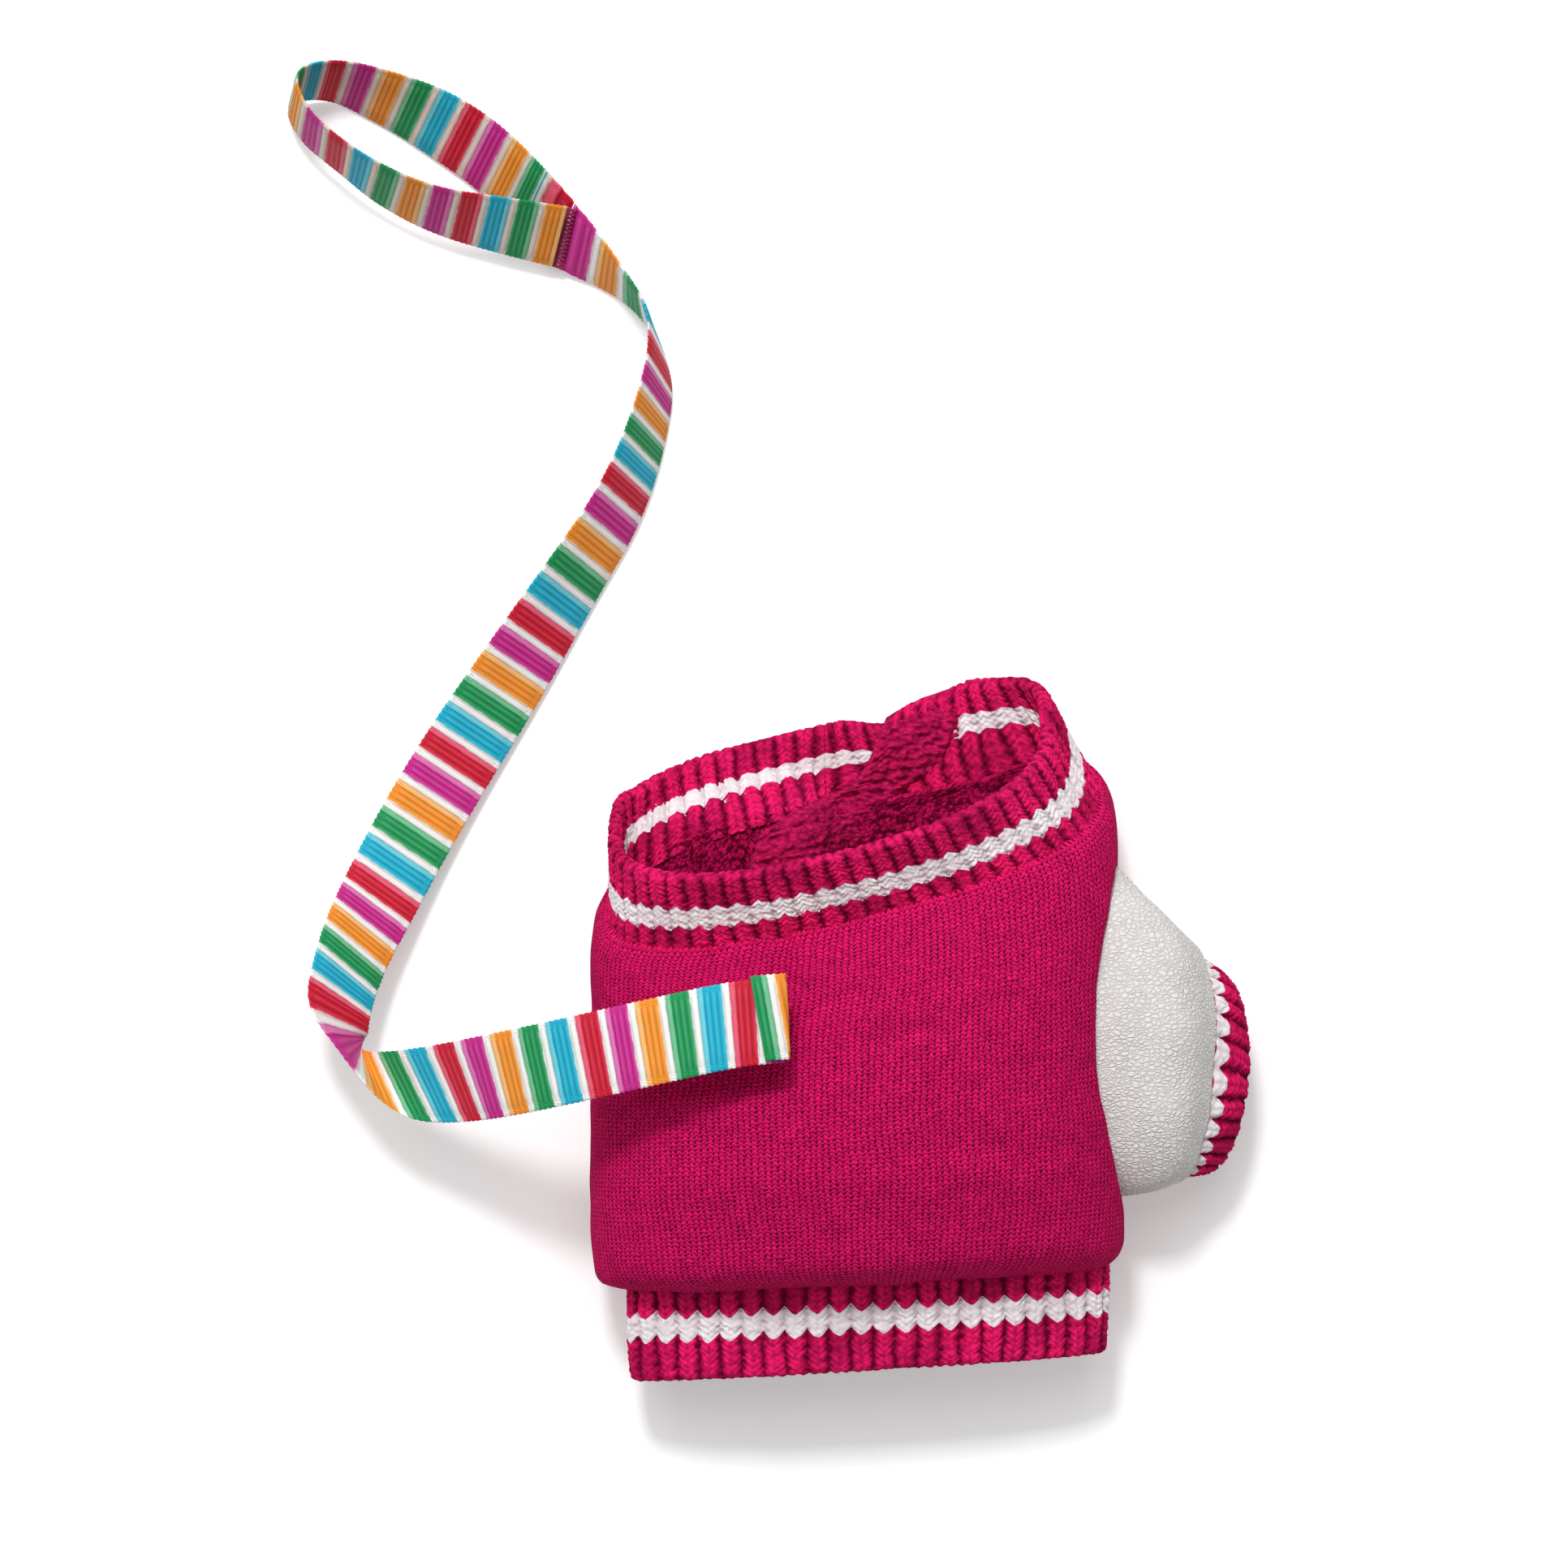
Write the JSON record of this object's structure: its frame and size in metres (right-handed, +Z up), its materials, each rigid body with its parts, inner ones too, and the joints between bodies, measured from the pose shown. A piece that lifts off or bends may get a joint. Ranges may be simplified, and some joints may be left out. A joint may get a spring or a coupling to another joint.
{
  "type": "toy pet jacket with lead",
  "caption": "Small knitted varsity jacket for a toy pet: fleece tube, striped rib bands and cuffs, white sleeves, belly closure, striped ribbon lead with a hand loop.",
  "frame": {"origin": "bottom centre of the jacket's own box, leaving the lead out, on the surface that it lies on", "axes": "+Z up off the table, +Y from the waist towards the neck, +X towards the jacket's right sleeve"},
  "size_m": [0.111, 0.1533, 0.037],
  "materials": {
    "fleece": "brushed knit fleece, jersey face",
    "rib_band": "1 by 1 rib knit with one white stripe",
    "rib_cuff": "1 by 1 rib knit with one white stripe",
    "sleeve_leather": "fine-grained white coated cloth",
    "overlock_thread": "overlocked edge",
    "loop_tape": "brushed loop tape",
    "hook_tape": "moulded hook tape",
    "looped_facing": "looped knit",
    "striped_ribbon": "woven grosgrain ribbon, cross stripes",
    "sewing_thread": "sewing thread"
  },
  "bodies": {
    "jacket": {"back_panel": "fleece", "belly_panel_left": "fleece", "belly_panel_right": "fleece", "neck_band": "rib_band", "waist_band": "rib_band", "hook_tape": "hook_tape", "closure_facing": "looped_facing", "neck_seam_overlock": "overlock_thread", "waist_seam_overlock": "overlock_thread", "side_seam_overlock_left": "overlock_thread", "side_seam_overlock_right": "overlock_thread", "armhole_seam_overlock_right": "overlock_thread", "lead_tack_stitches": "sewing_thread"},
    "flap": {"belly_flap": "fleece", "neck_band_flap_end": "rib_band", "waist_band_flap_end": "rib_band", "loop_tape": "loop_tape"},
    "right_sleeve": {"sleeve_right": "sleeve_leather", "cuff_right": "rib_cuff", "cuff_seam_overlock_right": "overlock_thread"},
    "left_sleeve": {"sleeve_left": "sleeve_leather", "cuff_left": "rib_cuff", "cuff_seam_overlock_left": "overlock_thread"},
    "lead": {"lead_ribbon": "striped_ribbon", "lead_end_hem": "striped_ribbon", "lead_bar_tack": "sewing_thread"},
    "hand_loop": {"lead_hand_loop": "striped_ribbon"}
  },
  "joints": [
    {"name": "belly_flap_fold", "type": "hinge", "parent": "jacket", "child": "flap", "pos_m": [-0.008, 0, 0], "axis": [0, 1, 0], "range_deg": [0, 100]},
    {"name": "right_sleeve_lift", "type": "hinge", "parent": "jacket", "child": "right_sleeve", "pos_m": [0.0192, 0.0004, 0.0213], "axis": [0, -1, 0], "range_deg": [0, 28]},
    {"name": "left_sleeve_unfold", "type": "hinge", "parent": "jacket", "child": "left_sleeve", "pos_m": [-0.0363, 0, 0.006], "axis": [0, 1, 0], "range_deg": [0, 110]},
    {"name": "lead_lift", "type": "hinge", "parent": "jacket", "child": "lead", "pos_m": [-0.015, 0.0026, 0.0352], "axis": [-0.0872, 0.9962, 0], "range_deg": [0, 75]},
    {"name": "hand_loop_lift", "type": "hinge", "parent": "lead", "child": "hand_loop", "pos_m": [-0.0412, 0.092, 0.0064], "axis": [0.2203, 0.721, 0.6569], "range_deg": [0, 85]}
  ]
}
